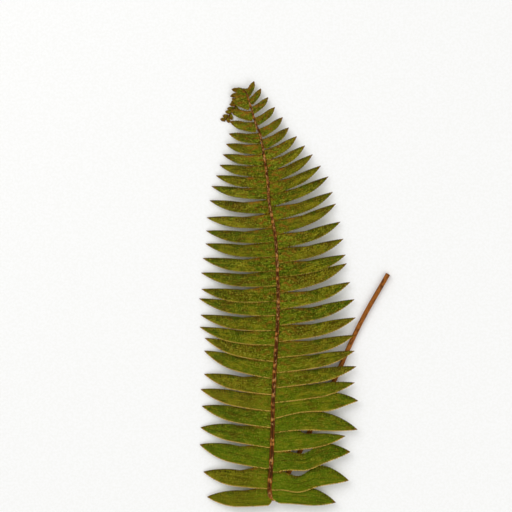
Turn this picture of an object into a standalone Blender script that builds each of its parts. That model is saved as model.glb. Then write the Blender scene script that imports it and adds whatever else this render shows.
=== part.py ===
"""A cut fern frond, lying face up on a flat surface.

The frond grew as one piece, so it is one solid. A midrib carries thirty toothed leaflets a side,
its tip curls over to the left and hangs beneath the blade, and its stalk is folded back at the
foot and lies flat behind the right-hand leaflets. The leaflets on the left droop to the surface.

X runs across the blade, Y along it towards the tip, and Z up, away from the surface. The origin is
on the flat underside of the stalk, a little way on from the fold.
"""

import math

import bmesh
import bpy
import numpy as np

# Sizes are in millimetres. The meshes are made in metres.
MM = 0.001

# The midrib: points on its centre line from the curled tip to the foot, as (x, y, z, radius).
CURL_ROUTE = (
    (-65.8, 380.9, 0.6, 0.5),
    (-61.0, 386.8, 0.9, 0.6),
    (-56.8, 392.7, 1.2, 0.6),
    (-52.5, 400.2, 1.7, 0.6),
    (-51.9, 407.7, 2.5, 0.7),
    (-49.3, 413.0, 4.2, 0.7),
    (-45.0, 413.5, 5.0, 0.8),
)
RIB_ROUTE = (
    (-41.8, 409.3, 5.2, 0.8),
    (-39.6, 402.3, 5.6, 0.9),
    (-32.1, 376.6, 7.2, 1.1),
    (-26.8, 361.7, 8.1, 1.2),
    (-19.8, 317.8, 10.6, 1.4),
    (-18.2, 294.3, 11.8, 1.5),
    (-11.8, 258.9, 13.5, 1.6),
    (-9.7, 226.8, 14.6, 1.7),
    (-8.6, 194.7, 15.2, 1.8),
    (-9.1, 168.0, 15.2, 1.9),
    (-11.3, 130.5, 14.6, 2.0),
    (-14.0, 82.4, 13.0, 2.2),
    (-14.5, 50.3, 11.9, 2.3),
    (-16.1, 12.8, 10.6, 2.4),
    (-17.7, -9.6, 10.0, 2.4),
)

# The stalk: it folds back under the foot of the midrib, then lies flat on the surface.
STALK_RADIUS = 2.5
FOLD_ROUTE = (
    (-16.8, -19.0, 9.6, 2.4),
    (-15.4, -21.9, 8.2, 2.4),
    (-13.1, -22.6, 5.9, 2.4),
    (-10.8, -22.0, 3.8, 2.4),
)
STALK_ROUTE = tuple(
    (x, y, STALK_RADIUS, STALK_RADIUS)
    for x, y in (
        (-8.6, -20.4),
        (0.0, 0.0),
        (12.8, 23.5),
        (50.3, 100.6),
        (66.7, 138.0),
        (83.9, 173.3),
        (109.1, 217.2),
    )
)
TUBE_SIDES = 8
TUBE_STEP = 13.0
CURL_STEP = 1.5

# The leaflets. Each list gives a value at the leaflets numbered in KNOTS, counted from the tip,
# and those between follow by interpolation. Heights are of the roots along Y, reach is the length
# seen from above, and rise is the angle in degrees above the X axis, towards the tip. Width is twice
# the lower half's width, of which the upper half has the share given.
LEAFLETS = 30
KNOTS = (0, 2, 5, 10, 15, 17, 20, 25, 28, 29)
RIGHT = {
    "side": 1,
    "height": (408.6, 391.1, 354.6, 295.3, 221.6, 187.4, 136.1, 56.6, -4.4, -18.9),
    "reach": (16.5, 22.8, 34.0, 68.5, 74.5, 79.5, 85.0, 89.0, 83.4, 70.4),
    "rise": (64.0, 41.5, 34.5, 22.5, 12.6, 15.5, 10.8, 7.0, 0.8, -6.3),
    "width": (7.0, 8.2, 11.4, 13.6, 15.9, 16.2, 16.8, 18.6, 20.5, 19.0),
    "upper": (0.95, 0.85, 0.78, 0.76, 0.78, 0.84, 0.8, 0.76, 1.0, 1.0),
    "sickle": (0.03, 0.04, 0.04, 0.045, 0.045, 0.045, 0.035, 0.0, -0.06, -0.04),
    "tip_height": (4.2, 3.9, 3.4, 3.2, 3.6, 4.2, 5.2, 7.4, 7.2, 7.0),
}
LEFT = {
    "side": -1,
    "height": (410.6, 396.6, 361.6, 303.1, 228.1, 196.5, 149.1, 61.6, -2.4, -20.4),
    "reach": (14.0, 21.5, 34.5, 61.0, 79.2, 81.5, 82.4, 76.5, 71.0, 65.6),
    "rise": (20.0, 22.5, 9.5, 7.6, 4.4, 3.2, 7.4, 10.8, 6.5, -0.6),
    "width": (6.5, 8.2, 11.0, 12.8, 15.6, 16.0, 16.0, 18.0, 20.0, 19.0),
    "upper": (1.0, 0.9, 0.8, 0.84, 0.84, 0.84, 0.84, 0.95, 0.92, 0.95),
    "sickle": (0.03, 0.03, 0.04, 0.045, 0.05, 0.05, 0.045, 0.02, 0.02, 0.02),
    "tip_height": (4.6, 4.0, 2.8, 0.8, 0.0, 0.0, 0.0, 0.0, 0.6, 1.2),
}
# Some leaflets lie out of line with their neighbours, and the 26th on the right hangs across the next.
ODD_RIGHT = {
    8: {"rise": 28.6},
    12: {"rise": 22.0},
    13: {"rise": 17.8},
    16: {"rise": 18.2},
    18: {"rise": 13.7, "reach": 84.0},
    19: {"rise": 11.8, "reach": 85.5},
    22: {"reach": 88.5},
    24: {"rise": 6.0, "reach": 91.0, "sickle": -0.06, "upper": 0.9},
    25: {"rise": -3.5, "reach": 90.0, "sickle": -0.075, "upper": 1.1},
    26: {"rise": 6.0, "reach": 78.0, "sickle": 0.0},
    27: {"rise": 7.8, "reach": 84.5, "sickle": -0.045},
}
ODD_LEFT = {
    12: {"rise": 3.7, "reach": 70.5, "sickle": 0.035},
    13: {"rise": 4.2, "reach": 73.5},
    16: {"rise": 4.4, "reach": 81.5},
    18: {"rise": 7.0, "reach": 84.5},
    20: {"rise": 8.0, "reach": 82.5},
    21: {"rise": 12.8, "reach": 77.0},
    22: {"rise": 15.7, "reach": 77.5},
    23: {"rise": 10.4, "reach": 75.0},
    24: {"rise": 10.9, "reach": 78.0},
    26: {"rise": 9.5, "reach": 77.0, "sickle": 0.0},
    27: {"rise": 11.8, "reach": 77.5},
}

BLADE_THICKNESS = 0.7
# Forward-leaning teeth along both edges. The lean is where a tooth's point is, as a share of pitch.
TOOTH_PITCH = 11.0
TOOTH_DEPTH = 0.8
TOOTH_DEPTH_SHARE = 0.065
TOOTH_LEAN = 0.75
# The outline: how wide the root is, the shares of the length that narrow to root and to tip, and
# the extra width of the upper half at the root, which fades out along the leaflet.
ROOT_SHARE = 0.85
ROOT_TAPER = 0.06
BASE_SPREAD = 0.3
BASE_SPREAD_END = 0.5
TIP_TAPER = 0.47
TIP_BLUNTNESS = 0.8
# A leaflet arches up from the midrib and droops to its tip. Its lower edge is turned up, so that it
# lies over the upper edge of the next one down, like a shingle.
ARCH_SHARE = 0.03
DROOP_POWER = 1.7
SHINGLE_TWIST = math.radians(6.5)
EDGE_DROP_SHARE = 0.025
# Roots start beside the centre of the midrib, at this share of its radius.
ROOT_INSET = 0.3
SLOPE_SPAN = 5.0

# The small leaflets of the curled tip.
CURL_PAIRS = 7
CURL_LEAFLET_REACH = (7.0, 4.5)
CURL_LEAFLET_WIDTH = (3.6, 2.6)
CURL_LEAFLET_THICKNESS = 0.6
CURL_LEAN = math.radians(50)

GREEN_OF_LEAF = (0.130, 0.165, 0.012, 1.0)


def clear_scene():
    """Remove every object of the open scene."""
    for old in list(bpy.data.objects):
        bpy.data.objects.remove(old, do_unlink=True)


def smooth_route(points, step):
    """Return points about a step apart on a smooth curve that stays above the surface."""
    points = np.array(points, dtype=float)
    ends = np.vstack((2 * points[0] - points[1], points, 2 * points[-1] - points[-2]))
    route = []
    for before, start, end, after in zip(ends, ends[1:], ends[2:], ends[3:]):
        count = max(1, round(np.linalg.norm((end - start)[:3]) / step))
        for t in np.arange(count) / count:
            pull = (end - before) * t
            bend = (2 * before - 5 * start + 4 * end - after) * t**2
            turn = (3 * start - before - 3 * end + after) * t**3
            route.append(start + 0.5 * (pull + bend + turn))
    route = np.array(route + [points[-1]])
    route[:, 2] = np.maximum(route[:, 2], route[:, 3])
    return route


def unit(vector):
    """Return the vector at length one."""
    return vector / np.linalg.norm(vector)


def tube_mesh(route):
    """Sweep an eight-sided section along the route, with a flat side facing down."""
    mesh = bmesh.new()
    corner_radius = 1 / math.cos(math.pi / TUBE_SIDES)
    angles = (np.arange(TUBE_SIDES) + 0.5) * 2 * math.pi / TUBE_SIDES
    rings = []
    for i, (x, y, z, radius) in enumerate(route):
        ahead = unit(route[min(i + 1, len(route) - 1), :3] - route[max(i - 1, 0), :3])
        across = unit(np.cross(ahead, (0.0, 0.0, 1.0)))
        up = np.cross(across, ahead)
        ring = []
        for angle in angles:
            spoke = across * math.cos(angle) + up * math.sin(angle)
            corner = np.array((x, y, z)) + spoke * radius * corner_radius
            ring.append(mesh.verts.new(corner * MM))
        rings.append(ring)
    for ring, following in zip(rings, rings[1:]):
        for k in range(TUBE_SIDES):
            j = (k + 1) % TUBE_SIDES
            mesh.faces.new((ring[k], ring[j], following[j], following[k]))
    mesh.faces.new(rings[0])
    mesh.faces.new(rings[-1])
    return mesh


def edge_at(leaf, u, edge):
    """Return the distance from midvein to upper or lower edge at u, from 0 at the root to 1 at the tip."""
    root = ROOT_SHARE + (1 - ROOT_SHARE) * math.sin(math.pi / 2 * min(1, u / ROOT_TAPER))
    tip = math.sin(math.pi / 2 * min(1, (1 - u) / TIP_TAPER)) ** TIP_BLUNTNESS
    upper = leaf["upper"] + BASE_SPREAD * max(0, 1 - u / BASE_SPREAD_END)
    return leaf["width"] / 2 * root * tip * (upper if edge > 0 else 1)


def leaflet_mesh(leaf):
    """Make one toothed leaflet, closed, with both faces split into the same triangles."""
    heading = np.array((math.cos(leaf["angle"]), math.sin(leaf["angle"])))
    to_tip_side = np.array((-heading[1], heading[0])) * leaf["side"]
    reach = leaf["reach"]
    half = leaf["width"] / 2

    def place(u, v):
        """Return the point at u along the leaflet and v millimetres towards the frond's tip."""
        sickle = -4 * leaf["sickle"] * reach * u * (1 - u)
        x, y = leaf["root"][:2] + heading * reach * u + to_tip_side * (v + sickle)
        droop = (leaf["tip_height"] - leaf["root"][2]) * u**DROOP_POWER
        arch = ARCH_SHARE * reach * math.sin(math.pi * u)
        tilt = v * (leaf["slope"] * (1 - u) - math.tan(SHINGLE_TWIST))
        edge_drop = EDGE_DROP_SHARE * leaf["width"] * (v / half) ** 2
        z = leaf["root"][2] + droop + arch + tilt - edge_drop
        return np.array((x, y, z))

    teeth = max(2, round(reach / TOOTH_PITCH))
    depth = min(TOOTH_DEPTH, TOOTH_DEPTH_SHARE * leaf["width"])
    middle = [place(k / teeth, 0.0) for k in range(teeth)]
    edges = {1: [], -1: []}
    for edge, points in edges.items():
        for k in range(teeth):
            notch = k / teeth
            crest = (k + TOOTH_LEAN) / teeth
            cut = depth if k else 0.0
            points.append(place(notch, edge * (edge_at(leaf, notch, edge) - cut)))
            points.append(place(crest, edge * edge_at(leaf, crest, edge)))
    tip = place(1.0, 0.0)

    mesh = bmesh.new()
    lift = np.array((0.0, 0.0, leaf["thickness"] / 2))
    faces = {}
    for face in (1, -1):
        faces[face] = {
            "middle": [mesh.verts.new((p + face * lift) * MM) for p in middle],
            "tip": mesh.verts.new((tip + face * lift) * MM),
            1: [mesh.verts.new((p + face * lift) * MM) for p in edges[1]],
            -1: [mesh.verts.new((p + face * lift) * MM) for p in edges[-1]],
        }
    for verts in faces.values():
        spine = verts["middle"] + [verts["tip"]]
        for edge in (1, -1):
            rim = verts[edge] + [verts["tip"]]
            for k in range(teeth):
                mesh.faces.new((spine[k], rim[2 * k], rim[2 * k + 1]))
                mesh.faces.new((spine[k], rim[2 * k + 1], spine[k + 1]))
                if k < teeth - 1:
                    mesh.faces.new((spine[k + 1], rim[2 * k + 1], rim[2 * k + 2]))
    loops = []
    for verts in faces.values():
        ahead = verts[1] + [verts["tip"]] + verts[-1][::-1]
        loops.append([verts["middle"][0]] + ahead)
    top, bottom = loops
    for i, j in zip(range(len(top)), list(range(1, len(top))) + [0]):
        mesh.faces.new((top[i], top[j], bottom[i]))
        mesh.faces.new((top[j], bottom[j], bottom[i]))
    return mesh


def object_from(name, mesh):
    """Close the work on a mesh, with its faces pointing out, and return it as an object."""
    bmesh.ops.recalc_face_normals(mesh, faces=mesh.faces)
    data = bpy.data.meshes.new(name)
    mesh.to_mesh(data)
    mesh.free()
    return bpy.data.objects.new(name, data)


def leaflet_row(row, odd, rib):
    """Return the leaflets of one side, from the tip down to the foot."""
    leaves = []
    by_height = rib[np.argsort(rib[:, 1])]
    for number in range(LEAFLETS):
        value = {key: np.interp(number, KNOTS, row[key]) for key in row if key != "side"}
        value.update(odd.get(number, {}))
        x, z, radius = (
            np.interp(value["height"], by_height[:, 1], by_height[:, k]) for k in (0, 2, 3)
        )
        ahead = value["height"] + SLOPE_SPAN
        slope = (np.interp(ahead, by_height[:, 1], by_height[:, 2]) - z) / SLOPE_SPAN
        angle = math.radians(value["rise"] if row["side"] > 0 else 180 - value["rise"])
        leaves.append({
            "side": row["side"],
            "root": np.array((x + row["side"] * ROOT_INSET * radius, value["height"], z)),
            "angle": angle,
            "slope": slope,
            "reach": value["reach"],
            "width": value["width"],
            "upper": value["upper"],
            "sickle": value["sickle"],
            "tip_height": value["tip_height"] + BLADE_THICKNESS / 2,
            "thickness": BLADE_THICKNESS,
        })
    return leaves


def curl_leaflets(curl):
    """Return the small leaflets on alternate sides of the curled tip, smallest at its end."""
    leaves = []
    for number in range(2 * CURL_PAIRS):
        side = 1 if number % 2 else -1
        share = number / (2 * CURL_PAIRS - 1)
        i = 1 + round((len(curl) - 3) * (1 - share))
        at = curl[i]
        towards_end = unit((curl[i - 1] - curl[i])[:3])
        heading = math.atan2(towards_end[1], towards_end[0])
        outwards = np.array((-towards_end[1], towards_end[0], 0.0)) * -side
        reach = np.interp(share, (0, 1), CURL_LEAFLET_REACH)
        leaves.append({
            "side": side,
            "root": at[:3] + outwards * ROOT_INSET * at[3],
            "angle": heading - side * CURL_LEAN,
            "slope": 0.0,
            "reach": reach,
            "width": np.interp(share, (0, 1), CURL_LEAFLET_WIDTH),
            "upper": 1.0,
            "sickle": 0.0,
            "tip_height": max(at[2] - 0.05 * reach, CURL_LEAFLET_THICKNESS),
            "thickness": CURL_LEAFLET_THICKNESS,
        })
    return leaves


def leaf_material():
    """Return the matt, slightly waxy green of a fresh leaf."""
    material = bpy.data.materials.new("green_leaf")
    material.use_nodes = True
    surface = material.node_tree.nodes["Principled BSDF"]
    surface.inputs["Base Color"].default_value = GREEN_OF_LEAF
    surface.inputs["Roughness"].default_value = 0.55
    surface.inputs["Metallic"].default_value = 0.0
    return material


def fuse(body, others):
    """Join the other objects to the body by one union, and remove them."""
    group = bpy.data.collections.new("leaflets")
    bpy.context.scene.collection.children.link(group)
    for other in others:
        group.objects.link(other)
    union = body.modifiers.new("union", "BOOLEAN")
    union.operation = "UNION"
    union.operand_type = "COLLECTION"
    union.collection = group
    union.solver = "EXACT"
    bpy.context.view_layer.update()
    graph = bpy.context.evaluated_depsgraph_get()
    fused = bpy.data.meshes.new_from_object(body.evaluated_get(graph))
    body.modifiers.remove(union)
    body.data = fused
    for other in others:
        bpy.data.objects.remove(other, do_unlink=True)
    bpy.data.collections.remove(group)


def build_frond():
    """Make the whole frond as one closed solid."""
    rib = smooth_route(RIB_ROUTE, TUBE_STEP)
    leaves = leaflet_row(RIGHT, ODD_RIGHT, rib) + leaflet_row(LEFT, ODD_LEFT, rib)
    leaves += curl_leaflets(smooth_route(CURL_ROUTE, CURL_STEP))
    route = smooth_route(CURL_ROUTE + RIB_ROUTE + FOLD_ROUTE + STALK_ROUTE, TUBE_STEP)
    frond = object_from("frond", tube_mesh(route))
    bpy.context.scene.collection.objects.link(frond)
    fuse(frond, [object_from("leaflet", leaflet_mesh(leaf)) for leaf in leaves])
    frond.data.materials.clear()
    frond.data.materials.append(leaf_material())
    frond.data.shade_smooth()
    frond.data.set_sharp_from_angle(angle=math.radians(35))


clear_scene()
build_frond()
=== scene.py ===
import math
import random

import bpy
import numpy as np
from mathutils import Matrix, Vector


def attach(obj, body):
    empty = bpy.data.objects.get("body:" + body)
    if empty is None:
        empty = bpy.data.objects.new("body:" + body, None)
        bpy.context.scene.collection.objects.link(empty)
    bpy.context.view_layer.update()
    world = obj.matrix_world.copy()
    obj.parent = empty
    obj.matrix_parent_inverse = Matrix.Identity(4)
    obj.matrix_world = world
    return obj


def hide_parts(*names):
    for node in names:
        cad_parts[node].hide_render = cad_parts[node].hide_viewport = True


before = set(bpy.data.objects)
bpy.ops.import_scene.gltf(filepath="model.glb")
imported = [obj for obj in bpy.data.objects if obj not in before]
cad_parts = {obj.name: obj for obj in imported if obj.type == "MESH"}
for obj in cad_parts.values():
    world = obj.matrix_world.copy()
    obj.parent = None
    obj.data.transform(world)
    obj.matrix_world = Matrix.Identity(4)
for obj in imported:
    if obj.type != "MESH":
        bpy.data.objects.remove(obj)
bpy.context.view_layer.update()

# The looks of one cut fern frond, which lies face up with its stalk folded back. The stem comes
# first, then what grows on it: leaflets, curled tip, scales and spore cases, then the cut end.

# Camera
# The frond is seen from straight above, face on. The photograph is 512 pixels square and shows
# 1.07 mm of the frond in each pixel. A long lens three metres up keeps perspective slight.
MM = 0.001
PHOTO_PIXELS = 512
MM_PER_PIXEL = 1.07
ORIGIN_PIXEL = (286.04, 477.0)
CAMERA_HEIGHT = 3.0
centre = PHOTO_PIXELS / 2
camera_data = bpy.data.cameras.new("overhead_camera")
camera_data.lens = camera_data.sensor_width * CAMERA_HEIGHT / (PHOTO_PIXELS * MM_PER_PIXEL * MM)
camera = bpy.data.objects.new("overhead_camera", camera_data)
camera.location = (
    (centre - ORIGIN_PIXEL[0]) * MM_PER_PIXEL * MM,
    (ORIGIN_PIXEL[1] - centre) * MM_PER_PIXEL * MM,
    CAMERA_HEIGHT,
)
bpy.context.scene.collection.objects.link(camera)
bpy.context.scene.camera = camera

# Midrib and stalk
# One tough, wiry brown stem. It is grooved along its face where it carries leaflets, with a small
# cushion at each joint, and plain, round and finely ribbed along the stalk, which is folded back.
CURL_ROUTE = (
    (-65.8, 380.9, 0.6, 0.5),
    (-61.0, 386.8, 0.9, 0.6),
    (-56.8, 392.7, 1.2, 0.6),
    (-52.5, 400.2, 1.7, 0.6),
    (-51.9, 407.7, 2.5, 0.7),
    (-49.3, 413.0, 4.2, 0.7),
    (-45.0, 413.5, 5.0, 0.8),
)
RIB_ROUTE = (
    (-41.8, 409.3, 5.2, 0.8),
    (-39.6, 402.3, 5.6, 0.9),
    (-32.1, 376.6, 7.2, 1.1),
    (-26.8, 361.7, 8.1, 1.2),
    (-19.8, 317.8, 10.6, 1.4),
    (-18.2, 294.3, 11.8, 1.5),
    (-11.8, 258.9, 13.5, 1.6),
    (-9.7, 226.8, 14.6, 1.7),
    (-8.6, 194.7, 15.2, 1.8),
    (-9.1, 168.0, 15.2, 1.9),
    (-11.3, 130.5, 14.6, 2.0),
    (-14.0, 82.4, 13.0, 2.2),
    (-14.5, 50.3, 11.9, 2.3),
    (-16.1, 12.8, 10.6, 2.4),
    (-17.7, -9.6, 10.0, 2.4),
)
FOLD_ROUTE = (
    (-16.8, -19.0, 9.6, 2.4),
    (-15.4, -21.9, 8.2, 2.4),
    (-13.1, -22.6, 5.9, 2.4),
    (-10.8, -22.0, 3.8, 2.4),
)
STALK_ROUTE = (
    (-8.6, -20.4, 2.5, 2.5),
    (0.0, 0.0, 2.5, 2.5),
    (12.8, 23.5, 2.5, 2.5),
    (50.3, 100.6, 2.5, 2.5),
    (66.7, 138.0, 2.5, 2.5),
    (83.9, 173.3, 2.5, 2.5),
    (109.1, 217.2, 2.5, 2.5),
)
STEM_STEP = 1.0
STEM_SIDES = 28
GROOVE_DEPTH = 0.24
GROOVE_ANGLE = 0.5
STEM_RIBS = 9
STEM_RIB_SHARE = 0.02
STEM_RIB_FADE = 0.4
STEM_RIB_TWIST = 40
CUSHION_LENGTH = 1.7
CUSHION_RISE = 0.4
FOLD_LENGTH = 10.0
STEM_CLEARANCE = 0.01
ROUNDING = 1e-6
SHARP_ANGLE = math.radians(48)


def linear(code):
    """Return a shader colour from an sRGB hex value."""
    shares = [int(code[i:i + 2], 16) / 255 for i in (1, 3, 5)]
    curve = [c / 12.92 if c <= 0.04045 else ((c + 0.055) / 1.055) ** 2.4 for c in shares]
    return (*curve, 1.0)


def add_node(tree, kind, settings, inputs):
    """Add a node, fill its inputs, by name or number, from values or sockets, return its outputs."""
    node = tree.nodes.new("ShaderNode" + kind)
    for key, value in settings.items():
        setattr(node, key, value)
    for key, value in inputs.items():
        if isinstance(value, bpy.types.NodeSocket):
            tree.links.new(value, node.inputs[key])
        else:
            node.inputs[key].default_value = value
    return node.outputs


def paint(tree, ground, layers):
    """Lay colours over a ground colour, as (colour, cover, limits) with limits (source, from, to)."""
    for code, cover, limits in layers:
        mask = cover
        for source, start, full in limits:
            edge = {0: source, 1: start, 2: full, 3: 0.0, 4: 1.0}
            ramp = add_node(tree, "MapRange", {"interpolation_type": "SMOOTHSTEP"}, edge)[0]
            mask = add_node(tree, "Math", {"operation": "MULTIPLY"}, {0: ramp, 1: mask})[0]
        ground = add_node(tree, "Mix", {"data_type": "RGBA"}, {0: mask, 6: ground, 7: linear(code)})[2]
    return ground


def grain(tree, vector, size, own, detail=3.0):
    """Return noise with grains of a size in millimetres along each of the vector's directions."""
    scale = tuple(1 / s if s else 0.0 for s in size)
    scaled = add_node(tree, "VectorMath", {"operation": "MULTIPLY"}, {0: vector, 1: scale})[0]
    inputs = {"Vector": scaled, "W": own, "Scale": 1.0, "Detail": detail, "Roughness": 0.55}
    return add_node(tree, "TexNoise", {"noise_dimensions": "4D"}, inputs)[0]


def new_material(name, ior, roughness, gloss=0.5):
    """Return a new material's node tree and shader."""
    material = bpy.data.materials.new(name)
    material.use_nodes = True
    shader = material.node_tree.nodes["Principled BSDF"]
    shader.inputs["IOR"].default_value = ior
    shader.inputs["Roughness"].default_value = roughness
    shader.inputs["Specular IOR Level"].default_value = gloss
    return material, material.node_tree, shader


def add_piece(name, points, faces, materials, values, face_slots=None):
    """Make a piece of the frond from points in millimetres, with values that its materials read."""
    mesh = bpy.data.meshes.new(name)
    mesh.from_pydata((np.asarray(points) * MM).tolist(), [], faces)
    for key, array in values.items():
        kind = "FLOAT_VECTOR" if np.ndim(array) == 2 else "FLOAT"
        field = "vector" if np.ndim(array) == 2 else "value"
        layer = mesh.attributes.new(key, kind, "POINT")
        layer.data.foreach_set(field, np.asarray(array, dtype=np.float32).ravel())
    for material in materials:
        mesh.materials.append(material)
    if face_slots is not None:
        mesh.polygons.foreach_set("material_index", np.asarray(face_slots, dtype=np.int32))
    mesh.shade_smooth()
    mesh.set_sharp_from_angle(angle=SHARP_ANGLE)
    piece = bpy.data.objects.new(name, mesh)
    bpy.context.scene.collection.objects.link(piece)
    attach(piece, "root")
    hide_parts("frond")
    return piece


def smooth_route(points, step):
    """Return points about a step apart on a smooth curve that stays above the surface."""
    points = np.array(points, dtype=float)
    ends = np.vstack((2 * points[0] - points[1], points, 2 * points[-1] - points[-2]))
    route = []
    for before, start, end, after in zip(ends, ends[1:], ends[2:], ends[3:]):
        count = max(1, round(np.linalg.norm((end - start)[:3]) / step))
        t = np.arange(count)[:, None] / count
        bend = 2 * before - 5 * start + 4 * end - after
        turn = 3 * start - before - 3 * end + after
        route.append(start + 0.5 * ((end - before) * t + bend * t**2 + turn * t**3))
    route = np.vstack(route + [points[-1:]])
    route[:, 2] = np.maximum(route[:, 2], route[:, 3])
    return route


def unit(vectors):
    """Return the vectors at length one."""
    return vectors / np.linalg.norm(vectors, axis=-1, keepdims=True)


# Fern stems are hard, smooth bark-brown tissue with the dull gloss of dry straw. The lighter tan of
# the joints and the rust of the flanks come from scaly skin that has worn away in places.
stem_brown, tree, shader = new_material("hard_brown_fern_stem", 1.45, 0.6, 0.08)
stem = add_node(tree, "Attribute", {"attribute_name": "stem"}, {})[1]
stem_zones_and_shade = add_node(tree, "Attribute", {"attribute_name": "stem_zones_and_shade"}, {})[1]
bent, joint, upper = add_node(tree, "SeparateXYZ", {}, {0: stem_zones_and_shade})[0:3]
fibres = grain(tree, stem, (9.0, 0.35, 0.35), 1.0)
patches = grain(tree, stem, (7.0, 2.5, 2.5), 4.0)
crumbs = grain(tree, stem, (0.7, 0.5, 0.5), 7.0)
colour = paint(tree, linear("#5A3006"), [
    ("#80481A", 0.85, [(bent, 0.1, 0.9)]),
    ("#AA6826", 0.8, [(bent, 0.75, 1.0), (patches, 0.35, 0.6)]),
    ("#7E420E", 0.8, [(patches, 0.5, 0.66)]),
    ("#3A1C03", 0.8, [(patches, 0.5, 0.36)]),
    ("#94602A", 0.5, [(fibres, 0.52, 0.68)]),
    ("#2E1602", 0.75, [(fibres, 0.46, 0.32)]),
    # Painted shade: the sunken groove along the top of the midrib is painted dark brown.
    ("#321A02", 0.8, [(upper, 0.8, 0.97), (bent, 0.5, 0.1)]),
    ("#AA6A26", 0.85, [(joint, 0.2, 0.7), (upper, 0.2, 0.7), (patches, 0.44, 0.56)]),
    ("#CC9A54", 0.75, [(joint, 0.5, 0.9), (upper, 0.4, 0.8), (crumbs, 0.47, 0.56), (patches, 0.48, 0.58)]),
    ("#6A1F04", 0.7, [(crumbs, 0.6, 0.68)]),
])
tree.links.new(colour, shader.inputs["Base Color"])
relief = add_node(tree, "Mix", {}, {0: 0.4, 2: fibres, 3: crumbs})[0]
bump = add_node(tree, "Bump", {}, {"Strength": 0.6, "Distance": 0.15 * MM, "Height": relief})[0]
tree.links.new(bump, shader.inputs["Normal"])

whole_route = smooth_route(CURL_ROUTE + RIB_ROUTE + FOLD_ROUTE + STALK_ROUTE, STEM_STEP)
rib_route = smooth_route(RIB_ROUTE, STEM_STEP)
ahead = unit(np.gradient(whole_route[:, :3], axis=0))
across = unit(np.cross(ahead, (0.0, 0.0, 1.0)))
above = np.cross(across, ahead)
lengths = np.linalg.norm(np.diff(whole_route[:, :3], axis=0), axis=1)
along = np.concatenate(([0.0], np.cumsum(lengths)))


def along_at(point):
    """Return how far along the whole stem it passes nearest to a point of its route."""
    gaps = np.linalg.norm(whole_route[:, :3] - np.array(point[:3]), axis=1)
    return along[np.argmin(gaps)]


curl_end = along_at(RIB_ROUTE[0])
fold_start = along_at(RIB_ROUTE[-1])


def stem_piece(name, first, last, joints):
    """Sweep the stem's section along its route, from one length along it to another."""
    rings = np.flatnonzero((along >= first - ROUNDING) & (along <= last + ROUNDING))
    angles = np.arange(STEM_SIDES) * 2 * math.pi / STEM_SIDES
    s = along[rings][:, None]
    radius = whole_route[rings, 3][:, None]
    folded = np.clip((s - fold_start) / FOLD_LENGTH, 0, 1)
    from_top = np.minimum(angles, 2 * math.pi - angles)
    groove = GROOVE_DEPTH * np.exp(-(from_top / GROOVE_ANGLE) ** 2) * (1 - folded)
    rib_height = STEM_RIB_SHARE * (STEM_RIB_FADE + (1 - STEM_RIB_FADE) * folded)
    ribs = rib_height * np.cos(STEM_RIBS * angles + s / STEM_RIB_TWIST)
    swell = np.zeros((len(rings), STEM_SIDES))
    near = np.zeros(len(rings))
    for at, side in joints:
        lump = np.exp(-((along[rings] - at) / CUSHION_LENGTH) ** 2)
        swell += lump[:, None] * np.clip(side * np.sin(-angles), 0, 1) * CUSHION_RISE
        near = np.maximum(near, lump)
    reach = radius * (1 - groove + ribs) + swell
    spokes = np.cos(angles)[None, :, None] * above[rings][:, None, :]
    spokes = spokes + np.sin(angles)[None, :, None] * across[rings][:, None, :]
    points = whole_route[rings][:, None, :3] + spokes * reach[:, :, None]
    points[:, :, 2] = np.maximum(points[:, :, 2], STEM_CLEARANCE)
    straight = np.stack((
        np.broadcast_to(s, reach.shape), reach * np.cos(angles), reach * np.sin(angles)
    ), axis=2)
    upper_share = np.broadcast_to(np.cos(angles), reach.shape)
    stem_zone_and_shade_values = np.stack((
        np.broadcast_to(folded, reach.shape), np.broadcast_to(near[:, None], reach.shape), upper_share
    ), axis=2)
    faces = []
    for i in range(len(rings) - 1):
        for k in range(STEM_SIDES):
            j = (k + 1) % STEM_SIDES
            a, b = i * STEM_SIDES, (i + 1) * STEM_SIDES
            faces.append((a + k, b + k, b + j, a + j))
    faces.append(tuple(range(STEM_SIDES)))
    faces.append(tuple((len(rings) - 1) * STEM_SIDES + k for k in reversed(range(STEM_SIDES))))
    values = {"stem": straight.reshape(-1, 3), "stem_zones_and_shade": stem_zone_and_shade_values.reshape(-1, 3)}
    return add_piece(name, points.reshape(-1, 3), faces, [stem_brown], values)


# Leaflets
# Thirty a side, thin and leathery, with saw teeth, a sunken midvein and side veins that end in the
# teeth. They overlap like shingles: each lower edge lies over the next leaflet down. Each list gives
# a value at the leaflets numbered in KNOTS, from the tip, and the others follow by interpolation.
LEAFLETS = 30
KNOTS = (0, 2, 5, 10, 15, 17, 20, 25, 28, 29)
RIGHT = {
    "side": 1,
    "height": (408.6, 391.1, 354.6, 295.3, 221.6, 187.4, 136.1, 56.6, -4.4, -18.9),
    "reach": (16.5, 22.8, 34.0, 68.5, 74.5, 79.5, 85.0, 89.0, 83.4, 70.4),
    "rise": (64.0, 41.5, 34.5, 22.5, 12.6, 15.5, 10.8, 7.0, 0.8, -6.3),
    "width": (7.0, 8.2, 11.4, 13.6, 15.9, 16.2, 16.8, 18.6, 20.5, 19.0),
    "upper": (0.95, 0.85, 0.78, 0.76, 0.78, 0.84, 0.8, 0.76, 1.0, 1.0),
    "base": (0.4, 0.4, 0.45, 0.6, 0.65, 0.65, 0.6, 0.5, -0.1, 0.1),
    "heel": (0.8, 0.8, 0.85, 0.95, 1.0, 1.0, 1.0, 0.9, 0.8, 0.55),
    "sickle": (0.03, 0.04, 0.04, 0.045, 0.045, 0.045, 0.035, 0.0, -0.06, -0.04),
    "tip_height": (4.2, 3.9, 3.4, 3.2, 3.6, 4.2, 5.2, 7.4, 7.2, 7.0),
}
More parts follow.
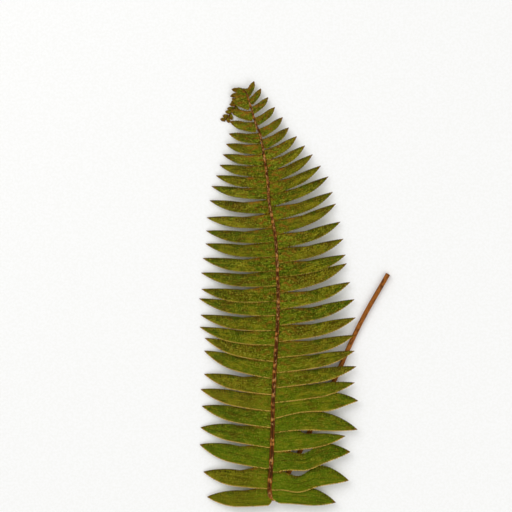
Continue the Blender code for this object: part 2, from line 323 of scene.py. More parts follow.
LEFT = {
    "side": -1,
    "height": (410.6, 396.6, 361.6, 303.1, 228.1, 196.5, 149.1, 61.6, -2.4, -20.4),
    "reach": (14.0, 21.5, 34.5, 61.0, 79.2, 81.5, 82.4, 76.5, 71.0, 65.6),
    "rise": (20.0, 22.5, 9.5, 7.6, 4.4, 3.2, 7.4, 10.8, 6.5, -0.6),
    "width": (7.6, 10.4, 11.6, 12.8, 15.6, 16.0, 16.0, 18.0, 20.0, 19.0),
    "upper": (1.0, 0.9, 0.8, 0.84, 0.84, 0.84, 0.84, 0.95, 0.92, 0.95),
    "base": (0.4, 0.4, 0.45, 0.6, 0.65, 0.65, 0.6, 0.55, 0.6, 0.3),
    "heel": (0.85, 0.85, 0.85, 0.95, 1.0, 1.0, 1.0, 0.9, 0.85, 0.55),
    "sickle": (0.03, 0.03, 0.04, 0.045, 0.05, 0.05, 0.045, 0.02, 0.02, 0.02),
    "tip_height": (4.6, 4.0, 2.8, 0.8, 0.0, 0.0, 0.0, 0.0, 0.6, 1.2),
}
# Some leaflets lie out of line with their neighbours, and the 26th on the right hangs across the next.
ODD_RIGHT = {
    8: {"rise": 28.6},
    12: {"rise": 22.0},
    13: {"rise": 17.8},
    16: {"rise": 18.2},
    18: {"rise": 13.7, "reach": 84.0},
    19: {"rise": 11.8, "reach": 85.5},
    22: {"reach": 88.5},
    24: {
        "rise": 6.0, "reach": 91.0, "sickle": -0.05, "width": 20.5, "upper": 1.22,
        "sag": 2.4, "waist_at": 0.64,
    },
    25: {"rise": -3.5, "reach": 90.0, "sickle": -0.07, "width": 20.0, "upper": 1.1},
    26: {
        "rise": 6.0, "reach": 78.0, "sickle": 0.0, "upper": 0.7, "base": 1.3,
        "waist": -0.5, "waist_at": 0.27,
    },
    27: {
        "rise": 7.8, "reach": 84.5, "sickle": -0.045, "width": 23.6, "upper": 1.08, "base": -0.1,
        "sag": 5.2, "waist": 0.4, "waist_at": 0.41,
    },
    28: {"upper": 1.42, "base": -0.3, "sag": 6.4, "waist": 0.4, "waist_at": 0.36},
    29: {"upper": 1.15, "heel": 0.15, "taper": 0.19},
}
ODD_LEFT = {
    12: {"rise": 3.7, "reach": 70.5, "sickle": 0.035},
    13: {"rise": 4.2, "reach": 73.5},
    16: {"rise": 4.4, "reach": 81.5},
    18: {"rise": 7.0, "reach": 84.5},
    20: {"rise": 8.0, "reach": 82.5},
    21: {"rise": 12.8, "reach": 77.0},
    22: {"rise": 15.7, "reach": 77.5, "width": 18.2},
    23: {"rise": 10.4, "reach": 75.0, "base": 0.85},
    24: {"rise": 10.9, "reach": 78.0},
    26: {"rise": 9.5, "reach": 77.0, "sickle": 0.0, "upper": 1.08},
    27: {"rise": 11.8, "reach": 77.5, "width": 20.8, "base": 0.85},
    28: {"upper": 0.86, "base": 1.0},
    29: {"reach": 69.2, "inset": -1.0},
}
# A few leaflets sag part of the way along, have a waist there, or begin elsewhere on the midrib. A
# waist below zero is a shoulder.
PLAIN = {"sag": 0.0, "waist": 0.0, "waist_at": 0.4, "taper": 0.07, "inset": 0.3}
WAIST_LENGTH = 0.19
UPPER_ROOT_SHARE = 0.85
BASE_END = 0.45
LOBE_SHARE = 0.1
LOBE_AT = 0.05
LOBE_LENGTH = 0.035
TIP_TAPER = 0.47
TIP_BLUNTNESS = 0.8
ARCH_SHARE = 0.03
DROOP_POWER = 1.7
SHINGLE_TWIST = math.radians(6.5)
EDGE_DROP_SHARE = 0.025
SLOPE_SPAN = 5.0
# The seed only sets how blades wave, twist and are coloured, and where scales and spore cases lie.
SEED = 121
BLADE_THICKNESS = 0.36
EDGE_THICKNESS = 0.22
TOOTH_PITCH = 2.7
LOWER_TOOTH_DEPTH = 1.1
UPPER_TOOTH_DEPTH = 0.7
TOOTH_DEPTH_SHARE = 0.065
TOOTH_COLUMNS = ((0.0, -1.0), (0.35, -0.5), (0.75, 0.0), (0.92, -0.65))
VEIN_AT = 0.75
VEIN_LEAN = 0.05
ROWS = (0.0, 0.05, 0.14, 0.36, 0.62, 0.86, 0.96, 1.0)
QUILT_DEPTH = 0.09
MIDVEIN_WIDTH = 0.5
MIDVEIN_DEPTH = 0.22
MIDVEIN_KEEL = 0.4
WAVE_HEIGHT = 0.35
TIP_TWIST = 0.07
WAVE_SHARES = (0.5, 1.0)
WAVE_COUNTS = (1.2, 2.6)
FULL_REACH = 60
FULL_WIDTH = 18
LEAST_TEETH = 4
TOOTHLESS_ROOT = 12
GROOVE_FADE = 6
LEAF_CLEARANCE = 0.02
TIP_CLEARANCE = 0.1
OWN_STRETCH = 80.0


def at_waist(leaf, u):
    """Return how near u is to a leaflet's waist, as 1 there and 0 far away."""
    return np.exp(-((u - leaf["waist_at"]) / WAIST_LENGTH) ** 2)


def edge_at(leaf, u, edge):
    """Return the distance from midvein to upper or lower edge at u, from 0 at the root to 1 at the tip."""
    root_share = UPPER_ROOT_SHARE if edge > 0 else leaf["heel"]
    root = root_share + (1 - root_share) * np.sin(np.pi / 2 * np.minimum(1, u / leaf["taper"]))
    tip = np.sin(np.pi / 2 * np.minimum(1, (1 - u) / TIP_TAPER)) ** TIP_BLUNTNESS
    upper = leaf["upper"] + leaf["base"] * np.maximum(0, 1 - u / BASE_END)
    upper = upper * (1 - leaf["waist"] * at_waist(leaf, u))
    return leaf["width"] / 2 * root * tip * (upper if edge > 0 else 1)


def leaflet_row(row, odd):
    """Return the leaflets of one side, from the tip down to the foot."""
    leaves = []
    by_height = rib_route[np.argsort(rib_route[:, 1])]
    for number in range(LEAFLETS):
        usual = {key: np.interp(number, KNOTS, row[key]) for key in row if key != "side"}
        value = PLAIN | usual | odd.get(number, {})
        x, z, radius = (
            np.interp(value["height"], by_height[:, 1], by_height[:, k]) for k in (0, 2, 3)
        )
        beyond = value["height"] + SLOPE_SPAN
        slope = (np.interp(beyond, by_height[:, 1], by_height[:, 2]) - z) / SLOPE_SPAN
        angle = math.radians(value["rise"] if row["side"] > 0 else 180 - value["rise"])
        leaves.append(value | {
            "side": row["side"],
            "share": number / (LEAFLETS - 1),
            "root": np.array((x + row["side"] * value["inset"] * radius, value["height"], z)),
            "angle": angle,
            "slope": slope,
            "tip_height": value["tip_height"] + BLADE_THICKNESS / 2,
            "pitch": TOOTH_PITCH,
        })
    return leaves


def place(leaf, u, v):
    """Return the blade's middle surface at u along it and v millimetres towards the frond's tip."""
    heading = np.array((math.cos(leaf["angle"]), math.sin(leaf["angle"])))
    to_tip_side = np.array((-heading[1], heading[0])) * leaf["side"]
    reach = leaf["reach"]
    bend = -4 * leaf["sickle"] * reach * u * (1 - u) - leaf["sag"] * at_waist(leaf, u)
    x, y = (
        leaf["root"][k] + heading[k] * reach * u + to_tip_side[k] * (v + bend) for k in (0, 1)
    )
    droop = (leaf["tip_height"] - leaf["root"][2]) * u**DROOP_POWER
    arch = ARCH_SHARE * reach * np.sin(np.pi * u)
    twist = leaf["twist"] * u**2
    tilt = v * (leaf["slope"] * (1 - u) - math.tan(SHINGLE_TWIST) + twist)
    share = v / (leaf["width"] / 2)
    wave = leaf["wave"] * share**2 * np.sin(2 * np.pi * (leaf["waves"] * u + leaf["phase"]))
    z = leaf["root"][2] + droop + arch + tilt + wave - EDGE_DROP_SHARE * leaf["width"] * share**2
    return np.stack((x, y, z), axis=-1)


def leaflet_piece(name, leaf, chance, materials):
    """Make one leaflet as a closed blade, with its columns laid along its side veins."""
    leaf["wave"] = chance.uniform(*WAVE_SHARES) * WAVE_HEIGHT * min(1, leaf["reach"] / FULL_REACH)
    leaf["waves"] = chance.uniform(*WAVE_COUNTS)
    leaf["phase"] = chance.uniform(0, 1)
    leaf["twist"] = chance.uniform(-TIP_TWIST, TIP_TWIST)
    own = chance.uniform(0, 1)
    teeth = max(LEAST_TEETH, round(leaf["reach"] / leaf["pitch"]))
    vein = np.array([k + at for k in range(teeth) for at, cut in TOOTH_COLUMNS])
    cut = np.array([cut for k in range(teeth) for at, cut in TOOTH_COLUMNS])
    u_edge = vein / teeth
    u_middle = u_edge - VEIN_LEAN * 4 * u_edge * (1 - u_edge)
    fine = leaf["width"] / FULL_WIDTH
    lower, upper = edge_at(leaf, u_edge, -1), edge_at(leaf, u_edge, 1)
    cut = cut * np.minimum(1, TOOTHLESS_ROOT * u_edge) * (2 * lower / leaf["width"]) ** 0.5
    lower = lower + cut * min(LOWER_TOOTH_DEPTH, TOOTH_DEPTH_SHARE * leaf["width"])
    upper = upper + cut * min(UPPER_TOOTH_DEPTH, TOOTH_DEPTH_SHARE * leaf["width"])
    upper = upper + LOBE_SHARE * leaf["width"] / 2 * np.exp(-((u_edge - LOBE_AT) / LOBE_LENGTH) ** 2)
    rows = np.array([-w for w in reversed(ROWS)] + list(ROWS[1:]))
    outer = np.where(rows[None, :] > 0, upper[:, None], lower[:, None])
    v = rows[None, :] * outer
    blend = np.abs(rows[None, :]) ** 0.8
    u = u_middle[:, None] + (u_edge - u_middle)[:, None] * blend
    middle = place(leaf, u, v)
    to_edge = (1 - np.abs(rows[None, :])) * outer
    across_vein = np.cos(2 * np.pi * (vein - VEIN_AT))[:, None]
    quilt = -QUILT_DEPTH * fine * across_vein * np.sin(np.pi * np.clip(to_edge / outer, 0, 1)) ** 0.6
    groove = np.exp(-(v / (MIDVEIN_WIDTH * fine)) ** 2) * np.minimum(1, (1 - u) * GROOVE_FADE)
    thick = (EDGE_THICKNESS + (BLADE_THICKNESS - EDGE_THICKNESS) * np.minimum(1, to_edge / 2)) / 2
    top = middle.copy()
    top[:, :, 2] += thick + quilt - MIDVEIN_DEPTH * fine * groove
    back = middle.copy()
    back[:, :, 2] += -thick + quilt - MIDVEIN_KEEL * fine * groove
    back[:, :, 2] = np.maximum(back[:, :, 2], LEAF_CLEARANCE)
    top[:, :, 2] = np.maximum(top[:, :, 2], back[:, :, 2] + 2 * thick)
    tip = place(leaf, np.array(1.0), np.array(0.0))
    tip[2] = max(tip[2], TIP_CLEARANCE)
    columns, across_count = u.shape
    count = columns * across_count
    points = np.vstack((top.reshape(-1, 3), back.reshape(-1, 3), tip[None, :]))

    faces = []
    slots = []
    for i in range(columns - 1):
        for j in range(across_count - 1):
            a = i * across_count + j
            quad = (a, a + across_count, a + across_count + 1, a + 1)
            faces.append(quad)
            faces.append(tuple(k + count for k in reversed(quad)))
            slots += [0, 1]
    last = (columns - 1) * across_count
    for j in range(across_count - 1):
        faces.append((last + j, 2 * count, last + j + 1))
        faces.append((last + j + 1 + count, 2 * count, last + j + count))
        faces.append((j + 1, j + 1 + count, j + count, j))
        slots += [0, 1, 0]
    for i in range(columns - 1):
        a, b = i * across_count, (i + 1) * across_count
        faces.append((a, a + count, b + count, b))
        a, b = a + across_count - 1, b + across_count - 1
        faces.append((b, b + count, a + count, a))
        slots += [0, 0]
    faces.append((last, last + count, 2 * count))
    end = last + across_count - 1
    faces.append((end + count, end, 2 * count))
    slots += [0, 0]
    if leaf["side"] < 0:
        faces = [tuple(reversed(face)) for face in faces]

    from_root = (u * leaf["reach"]).ravel()
    blade = np.stack((from_root, v.ravel(), to_edge.ravel()), axis=1)
    blade = np.vstack((blade, blade, ((leaf["reach"], 0.0, 0.0),)))
    veins = np.broadcast_to(vein[:, None], u.shape).ravel()
    growth = np.stack((leaf["reach"] - from_root, veins, np.full(count, leaf["share"])), axis=1)
    growth = np.vstack((growth, growth, ((0.0, teeth, leaf["share"]),)))
    values = {"blade": blade, "growth": growth, "own": np.full(2 * count + 1, own)}
    return add_piece(name, points, faces, materials, values, slots)


def leaf_skin(name, ground, layers, bump_strength, roughness):
    """Return the material of a leaf's face or back, painted over its ground colour."""
    material, tree, shader = new_material(name, 1.42, roughness, 0.03)
    blade = add_node(tree, "Attribute", {"attribute_name": "blade"}, {})[1]
    growth = add_node(tree, "Attribute", {"attribute_name": "growth"}, {})[1]
    own = add_node(tree, "Attribute", {"attribute_name": "own"}, {})[2]
    draw = add_node(tree, "Math", {"operation": "MULTIPLY"}, {0: own, 1: OWN_STRETCH})[0]
    from_root, across, to_edge = add_node(tree, "SeparateXYZ", {}, {0: blade})[0:3]
    from_tip, vein, share = add_node(tree, "SeparateXYZ", {}, {0: growth})[0:3]
    moved = add_node(tree, "Math", {"operation": "ADD"}, {0: vein, 1: 0.5 - VEIN_AT})[0]
    phase = add_node(tree, "Math", {"operation": "FRACT"}, {0: moved})[0]
    offset = add_node(tree, "Math", {"operation": "SUBTRACT"}, {0: phase, 1: 0.5})[0]
    sources = {
        "from_root": from_root,
        "across": across,
        "to_edge": to_edge,
        "from_tip": from_tip,
        "share": share,
        "own": own,
        "off_vein": add_node(tree, "Math", {"operation": "ABSOLUTE"}, {0: offset})[0],
        "off_middle": add_node(tree, "Math", {"operation": "ABSOLUTE"}, {0: across})[0],
        "patches": grain(tree, blade, (16.0, 6.0, 0.0), draw),
        "clouds": grain(tree, blade, (7.0, 3.5, 0.0), own),
        "streaks": grain(tree, blade, (22.0, 0.9, 0.0), draw),
        "mottle": grain(tree, blade, (3.0, 1.6, 0.0), draw),
        "crumbs": grain(tree, blade, (1.2, 1.0, 0.0), draw),
    }
    named = [(code, cover, [(sources[s], a, b) for s, a, b in limits]) for code, cover, limits in layers]
    tree.links.new(paint(tree, linear(ground), named), shader.inputs["Base Color"])
    ridge = add_node(tree, "MapRange", {}, {0: sources["off_vein"], 1: 0.0, 2: 0.3, 3: 0.0, 4: 1.0})[0]
    height = add_node(tree, "Mix", {}, {0: 0.5, 2: ridge, 3: sources["crumbs"]})[0]
    height = add_node(tree, "Mix", {}, {0: 0.35, 2: height, 3: sources["streaks"]})[0]
    inputs = {"Strength": bump_strength, "Distance": 0.12 * MM, "Height": height}
    tree.links.new(add_node(tree, "Bump", {}, inputs)[0], shader.inputs["Normal"])
    dull = {0: sources["mottle"], 1: 0.3, 2: 0.7, 3: roughness - 0.08, 4: roughness + 0.1}
    tree.links.new(add_node(tree, "MapRange", {}, dull)[0], shader.inputs["Roughness"])
    return material


# The face of a fern leaflet is thin waxy skin over green tissue: satin, with lengthwise streaks. It
# ages to olive and rust from the tip, the upper edge and the joint, and its lower edge dries to gold.
# Dark bars lie between the veins just inside the upper edge. The dark line along the upper edge,
# where the leaflet above lies over it, is painted shadow, and the dark streaks in the sunken midvein
# are painted shade.
# The gold edge is drawn 0.7 mm wide, a little wider than it is, so that it shows from a metre away.
# The lowest leaflets are greener and more even than the rest.
CALM_LOW = ("share", 1.35, 0.55)
leaf_face = leaf_skin("waxy_fern_leaf_face", "#515603", [
    ("#574F06", 0.9, [("share", 0.75, 0.1)]),
    ("#4C6204", 0.9, [("share", 0.5, 1.0)]),
    ("#64580A", 0.65, [("own", 0.5, 0.95)]),
    ("#3A5001", 0.65, [("own", 0.5, 0.05)]),
    ("#7C7610", 0.85, [("patches", 0.5, 0.64), CALM_LOW]),
    ("#4E3804", 0.85, [("patches", 0.48, 0.36), CALM_LOW]),
    ("#304A00", 0.85, [("clouds", 0.46, 0.34), CALM_LOW]),
    ("#786A12", 0.8, [("clouds", 0.54, 0.66), CALM_LOW]),
    ("#7E7618", 0.55, [("streaks", 0.54, 0.68)]),
    ("#332E02", 0.65, [("streaks", 0.46, 0.33)]),
    ("#586E08", 0.7, [("from_root", 34.0, 6.0), ("mottle", 0.45, 0.6)]),
    ("#8E8A24", 0.45, [("mottle", 0.54, 0.66), ("crumbs", 0.46, 0.58), CALM_LOW]),
    ("#2A2402", 0.5, [("mottle", 0.46, 0.35), ("crumbs", 0.53, 0.43), CALM_LOW]),
    ("#98A034", 0.75, [("crumbs", 0.57, 0.66), CALM_LOW]),
    ("#251C01", 0.9, [("crumbs", 0.46, 0.37), CALM_LOW]),
    ("#58300A", 0.85, [("crumbs", 0.45, 0.38), ("clouds", 0.49, 0.57), CALM_LOW]),
    ("#B0A040", 0.65, [("crumbs", 0.61, 0.68), CALM_LOW]),
    ("#84842E", 0.3, [("off_vein", 0.12, 0.02), ("crumbs", 0.4, 0.6)]),
    # Painted shade: dark streaks along the sunken midvein.
    ("#3B3004", 0.6, [("off_middle", 0.45, 0.2), ("streaks", 0.62, 0.4)]),
    ("#2A1D03", 0.85, [
        ("off_vein", 0.3, 0.2), ("across", 0.5, 1.6), ("to_edge", 4.2, 3.0), ("to_edge", 0.4, 0.8),
        ("from_root", 12.0, 20.0), ("mottle", 0.45, 0.54),
    ]),
    ("#865018", 0.85, [
        ("across", 0.5, 2.5), ("to_edge", 4.0, 1.6), ("from_root", 38.0, 14.0), ("patches", 0.46, 0.54),
        ("mottle", 0.42, 0.58),
    ]),
    ("#A5692A", 0.85, [
        ("across", 0.5, 2.0), ("to_edge", 2.0, 0.8), ("from_root", 32.0, 16.0), ("mottle", 0.48, 0.56),
        ("crumbs", 0.42, 0.56),
    ]),
    ("#5E2C06", 0.85, [
        ("across", 0.5, 2.0), ("to_edge", 2.6, 0.8), ("from_root", 36.0, 16.0), ("mottle", 0.5, 0.42),
        ("crumbs", 0.5, 0.4),
    ]),
    ("#5A3C08", 0.6, [
        ("from_root", 40.0, 10.0), ("clouds", 0.5, 0.6), ("mottle", 0.42, 0.56), ("share", 0.95, 0.6),
    ]),
    ("#94541C", 0.7, [
        ("from_root", 34.0, 10.0), ("clouds", 0.55, 0.61), ("crumbs", 0.48, 0.55), ("share", 0.95, 0.5),
    ]),
    ("#8E3408", 0.9, [("crumbs", 0.66, 0.7), ("clouds", 0.54, 0.6)]),
    # Painted shadow: a dark line along the upper edge, where the leaflet above lies over it.
    ("#463206", 0.85, [("across", 0.0, 1.0), ("to_edge", 1.0, 0.5), ("mottle", 0.36, 0.5)]),
    ("#5A4608", 0.8, [("across", 0.0, -1.0), ("to_edge", 0.9, 0.5), ("mottle", 0.5, 0.4)]),
    ("#DCB054", 0.95, [
        ("across", 0.0, -1.0), ("to_edge", 0.85, 0.5), ("share", 0.35, 0.85), ("mottle", 0.38, 0.52),
    ]),
    ("#A0802E", 0.8, [("across", 0.0, -1.0), ("to_edge", 0.7, 0.4), ("mottle", 0.5, 0.6)]),
    ("#70440C", 0.85, [("from_tip", 6.0, 1.5), ("crumbs", 0.35, 0.6)]),
], 0.7, 0.6)

# The back is duller and paler, because its wax is thin and its veins stand out.
leaf_back = leaf_skin("dull_fern_leaf_back", "#7C8440", [
    ("#8C8C4A", 0.7, [("patches", 0.5, 0.66)]),
    ("#666E2C", 0.7, [("patches", 0.48, 0.34)]),
    ("#6A7030", 0.5, [("streaks", 0.46, 0.32)]),
    ("#A09A5C", 0.6, [("off_vein", 0.1, 0.03)]),
    ("#8E6E38", 0.85, [("off_middle", 0.7, 0.4)]),
    ("#B89A4E", 0.8, [("to_edge", 0.7, 0.4)]),
    ("#70480F", 0.8, [("from_tip", 7.0, 1.5), ("crumbs", 0.3, 0.6)]),
], 0.8, 0.65)

right_leaves = leaflet_row(RIGHT, ODD_RIGHT)
left_leaves = leaflet_row(LEFT, ODD_LEFT)
looks = random.Random(SEED)
for side_name, leaves in (("right", right_leaves), ("left", left_leaves)):
    for number, leaf in enumerate(leaves):
        leaflet_piece(f"leaflet_{side_name}_{number + 1:02d}", leaf, looks, [leaf_face, leaf_back])

joints = [(along_at(leaf["root"]), leaf["side"]) for leaf in right_leaves + left_leaves]
stem_piece("curled_tip_stem", 0.0, curl_end, [])
stem_piece("midrib", curl_end, fold_start, joints)
stem_piece("stalk", fold_start, along[-1], [])

# Curled tip
# The youngest leaflets, short and close like a comb, and already drying brown.
CURL_PAIRS = 8
CURL_LEAFLET_REACH = (9.2, 5.6)
CURL_LEAFLET_WIDTH = (5.0, 4.2)
CURL_TOOTH_PITCH = 1.2
CURL_LEAN = math.radians(58)
CURL_STEP = 1.5
CURL_AGE = -0.3
CURL_DROOP_SHARE = 0.05
CURL_CLEARANCE = 0.3
curl = smooth_route(CURL_ROUTE, CURL_STEP)
for number in range(2 * CURL_PAIRS):
    side = 1 if number % 2 else -1
    share = number / (2 * CURL_PAIRS - 1)
    i = 1 + round((len(curl) - 3) * (1 - share))
    towards_end = unit((curl[i - 1] - curl[i])[:3])
    outwards = np.array((-towards_end[1], towards_end[0], 0.0)) * -side
    reach = np.interp(share, (0, 1), CURL_LEAFLET_REACH)
    leaf = PLAIN | {
        "side": side,
        "share": CURL_AGE,
        "root": curl[i, :3] + outwards * PLAIN["inset"] * curl[i, 3],
        "angle": math.atan2(towards_end[1], towards_end[0]) - side * CURL_LEAN,
        "slope": 0.0,
        "reach": reach,
        "width": np.interp(share, (0, 1), CURL_LEAFLET_WIDTH),
        "upper": 1.0,
        "base": 0.0,
        "heel": 0.85,
        "sickle": 0.0,
        "tip_height": max(curl[i, 2] - CURL_DROOP_SHARE * reach, CURL_CLEARANCE),
        "pitch": CURL_TOOTH_PITCH,
    }
    leaflet_piece(f"curl_leaflet_{number + 1:02d}", leaf, looks, [leaf_face, leaf_back])

# Scales
# Thin papery scales, tan to rust, that cover the young midrib and stay on in places. They are pointed
# slips that lie close along the stem, thickest near the joints and on the upper half of the midrib.
SCALE_COUNT = 420
FOLD_SCALE_COUNT = 35
SCALED_FOLD_LENGTH = 40
SCALE_CROWDING = 1.3
SCALE_AT_JOINT_SHARE = 0.5
SCALE_JOINT_REACH = 2
SCALE_LEAN = 0.5
SCALE_SINK_SHARE = 0.88
FULL_STEM_RADIUS = 1.6
LEAST_SCALE_SHARE = 0.2
SCALE_LENGTHS = (1.6, 3.6)
SCALE_WIDTH_SHARE = 0.3
SCALE_THICKNESS = 0.08
SCALE_LIFT = math.radians(6)
SCALE_SPREAD = math.radians(75)
SCALE_OUTLINE = ((0.0, 0.5), (0.25, 1.0), (0.6, 0.75), (1.0, 0.0))

papery_scale, tree, shader = new_material("papery_fern_scale", 1.45, 0.6, 0.2)
blade = add_node(tree, "Attribute", {"attribute_name": "blade"}, {})[1]
own = add_node(tree, "Attribute", {"attribute_name": "own"}, {})[2]
fibre = grain(tree, blade, (1.4, 0.12, 0.0), own)
colour = paint(tree, linear("#8A5A26"), [
    ("#B98F56", 0.9, [(own, 0.35, 0.9)]),
    ("#5E340E", 0.9, [(own, 0.35, 0.05)]),
    ("#4A280A", 0.6, [(fibre, 0.48, 0.36)]),
    ("#C9A46C", 0.5, [(fibre, 0.54, 0.66)]),
])
tree.links.new(colour, shader.inputs["Base Color"])


def scales_piece(name, first, last, count, chance):
    """Strew scales over a stretch of the stem, from one length along it to another."""
    points = []
    faces = []
    places = []
    owns = []
    for number in range(count):
        at = first + (last - first) * chance.random() ** SCALE_CROWDING
        if chance.random() < SCALE_AT_JOINT_SHARE:
            nearest = min(joints, key=lambda joint: abs(joint[0] - at))[0]
            at = nearest + chance.uniform(-SCALE_JOINT_REACH, SCALE_JOINT_REACH)
        i = int(np.clip(np.searchsorted(along, at), 1, len(along) - 2))
        round_stem = chance.uniform(-SCALE_SPREAD, SCALE_SPREAD)
        out = math.cos(round_stem) * above[i] + math.sin(round_stem) * across[i]
        lean = chance.uniform(-SCALE_LEAN, SCALE_LEAN)
        heading = math.cos(lean) * -ahead[i] + math.sin(lean) * np.cross(out, ahead[i])
        heading = unit(math.cos(SCALE_LIFT) * heading + math.sin(SCALE_LIFT) * out)
        sideways = unit(np.cross(out, heading))
        face_way = np.cross(heading, sideways)
        thickness_share = min(1, whole_route[i, 3] / FULL_STEM_RADIUS + LEAST_SCALE_SHARE)
        length = chance.uniform(*SCALE_LENGTHS) * thickness_share
        start = whole_route[i, :3] + out * whole_route[i, 3] * SCALE_SINK_SHARE
        base = len(points)
        own_value = chance.random()
        for u, half in SCALE_OUTLINE:
            reach_sideways = half * SCALE_WIDTH_SHARE * length / 2
            for v in ((-1, 1) if half else (0,)):
                for lift in (-1, 1):
                    point = start + heading * u * length + sideways * v * reach_sideways
                    points.append(point + face_way * lift * SCALE_THICKNESS / 2)
                    places.append((u * length, v * reach_sideways, lift))
                    owns.append(own_value)
        for k in range(2):
            a, b = base + 4 * k, base + 4 * k + 4
            faces += [(a + 1, b + 1, b + 3, a + 3), (a + 2, b + 2, b, a)]
            faces += [(a, b, b + 1, a + 1), (a + 3, b + 3, b + 2, a + 2)]
        a, tip = base + 8, base + 12
        faces += [(a + 1, tip + 1, a + 3), (a + 2, tip, a), (a, tip, tip + 1, a + 1)]
        faces += [(a + 3, tip + 1, tip, a + 2), (base, base + 1, base + 3, base + 2)]
    return add_piece(name, points, faces, [papery_scale], {"blade": np.array(places), "own": owns})


strewn = random.Random(SEED)
scales_piece("scales_on_midrib", curl_end, fold_start, SCALE_COUNT, strewn)
scales_piece("scales_on_fold", fold_start, fold_start + SCALED_FOLD_LENGTH, FOLD_SCALE_COUNT, strewn)

# Spore cases
# Round brown heaps of spore cases on the backs of the leaflets, in a row along each side of the
# midvein, a little nearer to the edge. The lowest and the smallest leaflets carry none. The heaps
# under the leaflets of one side are one piece.
HEAP_LEAFLETS = range(5, 27)
HEAP_PITCH = 2.7
HEAP_RADIUS = 0.6
HEAP_HEIGHT = 0.3
HEAP_ROWS = 0.55
HEAP_SINK = 0.06
HEAP_STRETCH = (0.12, 0.86)
HEAP_RINGS = ((0.0, 1.0), (0.55, 0.82), (0.85, 0.5), (1.0, 0.0))
HEAP_SIDES = 10
HEAP_STRAY = 0.004
HEAP_SPREAD = (0.8, 1.1)
HEAP_FULL_WIDTH = 14

spore_brown, tree, shader = new_material("ripe_spore_case_brown", 1.5, 0.8, 0.2)
blade = add_node(tree, "Attribute", {"attribute_name": "blade"}, {})[1]
cases = grain(tree, blade, (0.25, 0.25, 0.0), 3.0)
colour = paint(tree, linear("#6E4218"), [
    ("#9A6428", 0.8, [(cases, 0.5, 0.62)]),
    ("#3E2008", 0.8, [(cases, 0.48, 0.36)]),
])
tree.links.new(colour, shader.inputs["Base Color"])
bump = add_node(tree, "Bump", {}, {"Strength": 0.9, "Distance": 0.1 * MM, "Height": cases})[0]
tree.links.new(bump, shader.inputs["Normal"])


def add_heap(leaf, u, edge, radius, points, faces, places):
    """Add one low dome on the back of a leaflet, just over halfway from the midvein to one edge."""
    v = edge * HEAP_ROWS * edge_at(leaf, u, edge)
    base = len(points)
    for share, height in HEAP_RINGS:
        for k in range(HEAP_SIDES if share else 1):
            turn = 2 * math.pi * k / HEAP_SIDES
            x, y = radius * share * math.cos(turn), radius * share * math.sin(turn)
            point = place(leaf, u + x / leaf["reach"], v + y)
            point[2] -= BLADE_THICKNESS / 2 - HEAP_SINK + HEAP_HEIGHT * height
            point[2] = max(point[2], LEAF_CLEARANCE)
            points.append(point)
            places.append((u * leaf["reach"] + x, v + y, height))
    dome = []
    for k in range(HEAP_SIDES):
        j = (k + 1) % HEAP_SIDES
        dome.append((base, base + 1 + j, base + 1 + k))
        for ring in range(len(HEAP_RINGS) - 2):
            a = base + 1 + ring * HEAP_SIDES
            b = a + HEAP_SIDES
            dome.append((a + k, a + j, b + j, b + k))
    last = base + 1 + (len(HEAP_RINGS) - 2) * HEAP_SIDES
    dome.append(tuple(last + k for k in range(HEAP_SIDES)))
    faces += dome if leaf["side"] > 0 else [tuple(reversed(face)) for face in dome]


for side_name, leaves in (("right", right_leaves), ("left", left_leaves)):
    points = []
    faces = []
    places = []
    for number in HEAP_LEAFLETS:
        leaf = leaves[number]
        for at in np.arange(*HEAP_STRETCH, HEAP_PITCH / leaf["reach"]):
            for edge in (-1, 1):
                u = at + strewn.uniform(-HEAP_STRAY, HEAP_STRAY)
                full = min(1, leaf["width"] / HEAP_FULL_WIDTH)
                radius = HEAP_RADIUS * strewn.uniform(*HEAP_SPREAD) * full
                add_heap(leaf, u, edge, radius, points, faces, places)
    add_piece(f"spore_cases_{side_name}", points, faces, [spore_brown], {"blade": np.array(places)})

# Cut end
# The stalk is cut straight across. The cut shows pale pith in a dark hard rind, with a ring of small
# bundles that carried the sap.
CUT_BACK = 0.02
CUT_DEPTH = 0.1
CUT_SIDES = 28
cut_pith, tree, shader = new_material("dry_pith_of_cut_stalk", 1.45, 0.8, 0.2)
stem = add_node(tree, "Attribute", {"attribute_name": "stem"}, {})[1]
up_share, side_share = add_node(tree, "SeparateXYZ", {}, {0: stem})[1:3]
from_axis = add_node(tree, "VectorMath", {"operation": "LENGTH"}, {
    0: add_node(tree, "CombineXYZ", {}, {0: up_share, 1: side_share})[0],
})[1]
flecks = grain(tree, stem, (0.0, 0.2, 0.2), 2.0)
bundles = add_node(tree, "TexVoronoi", {}, {"Vector": stem, "Scale": 1.1})[0]
colour = paint(tree, linear("#C79A5C"), [
    ("#A87438", 0.7, [(flecks, 0.48, 0.62)]),
    ("#6A3C12", 0.85, [(bundles, 0.25, 0.12), (from_axis, 0.7, 1.1)]),
    ("#4A2808", 0.9, [(from_axis, 2.0, 2.3)]),
])
tree.links.new(colour, shader.inputs["Base Color"])

end_centre = whole_route[-1, :3]
end_radius = whole_route[-1, 3] - CUT_BACK
turns = np.arange(CUT_SIDES) * 2 * math.pi / CUT_SIDES
spokes = np.cos(turns)[:, None] * above[-1] + np.sin(turns)[:, None] * across[-1]
rims = [end_centre + ahead[-1] * depth + spokes * end_radius for depth in (-CUT_DEPTH, CUT_DEPTH)]
flat = np.stack((np.zeros(CUT_SIDES), np.cos(turns), np.sin(turns)), axis=1) * end_radius
cut_faces = [tuple(range(CUT_SIDES)), tuple(2 * CUT_SIDES - 1 - k for k in range(CUT_SIDES))]
cut_faces += [
    (k, k + CUT_SIDES, (k + 1) % CUT_SIDES + CUT_SIDES, (k + 1) % CUT_SIDES) for k in range(CUT_SIDES)
]
add_piece("cut_end", np.vstack(rims), cut_faces, [cut_pith], {"stem": np.vstack((flat, flat))})

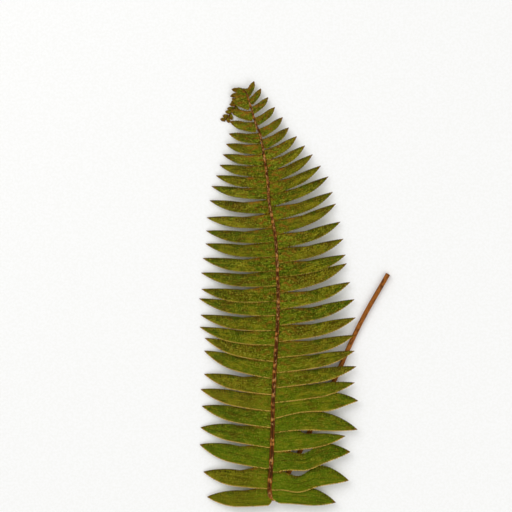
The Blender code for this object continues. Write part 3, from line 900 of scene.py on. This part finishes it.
# Floor
# A matt white card under the frond. It is plain, so that the leaves' outline reads clearly.
FLOOR_SIZE = 4.0
FLOOR_DROP = 0.0004
PULP_SCALE = 400.0
card, tree, shader = new_material("matt_white_card", 1.5, 0.9)
place_on_card = add_node(tree, "TexCoord", {}, {})["Object"]
pulp = add_node(tree, "TexNoise", {}, {"Vector": place_on_card, "Scale": PULP_SCALE, "Detail": 3.0})[0]
colour = paint(tree, linear("#F4F4F3"), [("#F1F1EF", 1.0, [(pulp, 0.4, 0.6)])])
tree.links.new(colour, shader.inputs["Base Color"])
half = FLOOR_SIZE / 2
corners = [(x, y, -FLOOR_DROP) for x, y in ((-half, -half), (half, -half), (half, half), (-half, half))]
floor_mesh = bpy.data.meshes.new("floor")
floor_mesh.from_pydata(corners, [], [(0, 1, 2, 3)])
floor_mesh.materials.append(card)
floor = bpy.data.objects.new("floor", floor_mesh)
bpy.context.scene.collection.objects.link(floor)

# Light
# Two large softboxes stand high on either side, as over a copying table, under an even white sky.
# They bring out the leaves' colour without gloss, and the stronger one, on the upper left, makes
# each leaflet cast a soft narrow shadow on the next one down.
FROND_MIDDLE = Vector((-0.01, 0.2, 0.0))
SOFTBOX_SIZE = 2.0
SOFTBOXES = (
    ("softbox_upper_left", (-1.4, 1.6, 2.2), 33.0),
    ("softbox_lower_right", (1.7, -1.5, 2.2), 27.0),
)
SKY_STRENGTH = 0.67
for name, stand, power in SOFTBOXES:
    data = bpy.data.lights.new(name, "AREA")
    data.size = SOFTBOX_SIZE
    data.energy = power
    light = bpy.data.objects.new(name, data)
    light.location = stand
    light.rotation_euler = (Vector(stand) - FROND_MIDDLE).to_track_quat("Z", "Y").to_euler()
    bpy.context.scene.collection.objects.link(light)
sky = bpy.data.worlds.new("even_white_sky")
sky.use_nodes = True
sky.node_tree.nodes["Background"].inputs["Color"].default_value = linear("#FFFFFF")
sky.node_tree.nodes["Background"].inputs["Strength"].default_value = SKY_STRENGTH
bpy.context.scene.world = sky
bpy.context.scene.view_settings.view_transform = "Standard"
